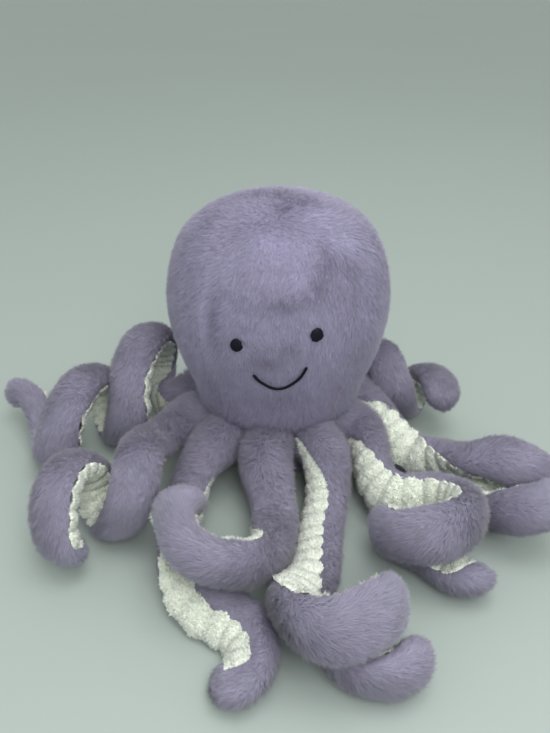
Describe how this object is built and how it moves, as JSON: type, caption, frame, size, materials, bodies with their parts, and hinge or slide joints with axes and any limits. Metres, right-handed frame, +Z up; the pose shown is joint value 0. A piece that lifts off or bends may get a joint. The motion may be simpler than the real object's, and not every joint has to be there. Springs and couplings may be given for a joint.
{
  "type": "plush octopus",
  "caption": "Stuffed soft octopus with a smiling rounded head over a weighted base and curled arms with ribbed pale undersides that lift at the root seams.",
  "frame": {"origin": "centre of the flat base panel's underside, the face that the toy stands on", "axes": "+Z up through the crown of the head, the face looks along -Y, +X to the viewer's right as the toy faces the viewer"},
  "size_m": [0.3914, 0.2937, 0.1958],
  "materials": {
    "lilac_fur": "deep soft pile, matt",
    "cream_chenille": "ribbed looped pile, matt",
    "white_fibre": "loose polyester fibre",
    "bean_cloth": "plain woven pouch filled with plastic beads",
    "dark_thread": "satin stitch"
  },
  "bodies": {
    "head_and_base": {"head_front_gore": "lilac_fur", "head_right_gore": "lilac_fur", "head_back_gore": "lilac_fur", "head_left_gore": "lilac_fur", "head_stuffing": "white_fibre", "neck_tube": "lilac_fur", "base_panel": "lilac_fur", "bean_bag": "bean_cloth", "left_eye": "dark_thread", "right_eye": "dark_thread", "smile": "dark_thread"},
    "arm_left_back": {"arm_left_back_cover": "lilac_fur", "arm_left_back_underside": "cream_chenille", "arm_left_back_stuffing": "white_fibre"},
    "arm_left": {"arm_left_cover": "lilac_fur", "arm_left_underside": "cream_chenille", "arm_left_stuffing": "white_fibre"},
    "arm_front_left": {"arm_front_left_cover": "lilac_fur", "arm_front_left_underside": "cream_chenille", "arm_front_left_stuffing": "white_fibre"},
    "arm_front": {"arm_front_cover": "lilac_fur", "arm_front_underside": "cream_chenille", "arm_front_stuffing": "white_fibre"},
    "arm_front_right": {"arm_front_right_cover": "lilac_fur", "arm_front_right_underside": "cream_chenille", "arm_front_right_stuffing": "white_fibre"},
    "arm_right_front": {"arm_right_front_cover": "lilac_fur", "arm_right_front_underside": "cream_chenille", "arm_right_front_stuffing": "white_fibre"},
    "arm_right": {"arm_right_cover": "lilac_fur", "arm_right_underside": "cream_chenille", "arm_right_stuffing": "white_fibre"},
    "arm_right_back": {"arm_right_back_cover": "lilac_fur", "arm_right_back_underside": "cream_chenille", "arm_right_back_stuffing": "white_fibre"}
  },
  "joints": [
    {"name": "arm_left_back_lift", "type": "hinge", "parent": "head_and_base", "child": "arm_left_back", "pos_m": [-0.03922, 0.01913, 0.037], "axis": [0.4384, 0.8988, 0], "range_deg": [0, 25]},
    {"name": "arm_left_lift", "type": "hinge", "parent": "head_and_base", "child": "arm_left", "pos_m": [-0.04298, -0.00758, 0.037], "axis": [-0.1736, 0.9848, 0], "range_deg": [0, 25]},
    {"name": "arm_front_left_lift", "type": "hinge", "parent": "head_and_base", "child": "arm_front_left", "pos_m": [-0.03031, -0.03139, 0.037], "axis": [-0.8988, 0.4384, 0], "range_deg": [0, 25]},
    {"name": "arm_front_lift", "type": "hinge", "parent": "head_and_base", "child": "arm_front", "pos_m": [-0.00607, -0.04322, 0.037], "axis": [-0.8988, 0.4384, 0], "range_deg": [0, 25]},
    {"name": "arm_front_right_lift", "type": "hinge", "parent": "head_and_base", "child": "arm_front_right", "pos_m": [0.02116, -0.03817, 0.037], "axis": [-0.8746, -0.4848, 0], "range_deg": [0, 25]},
    {"name": "arm_right_front_lift", "type": "hinge", "parent": "head_and_base", "child": "arm_right_front", "pos_m": [0.03987, -0.01775, 0.037], "axis": [-0.4067, -0.9135, 0], "range_deg": [0, 25]},
    {"name": "arm_right_lift", "type": "hinge", "parent": "head_and_base", "child": "arm_right", "pos_m": [0.04252, 0.00982, 0.037], "axis": [0.225, -0.9744, 0], "range_deg": [0, 12]},
    {"name": "arm_right_back_lift", "type": "hinge", "parent": "head_and_base", "child": "arm_right_back", "pos_m": [0.02626, 0.03485, 0.037], "axis": [0.7986, -0.6018, 0], "range_deg": [0, 25]}
  ],
  "couplings": [
    {"joint": "arm_front_lift", "follows": "arm_front_left_lift", "ratio": 1}
  ]
}
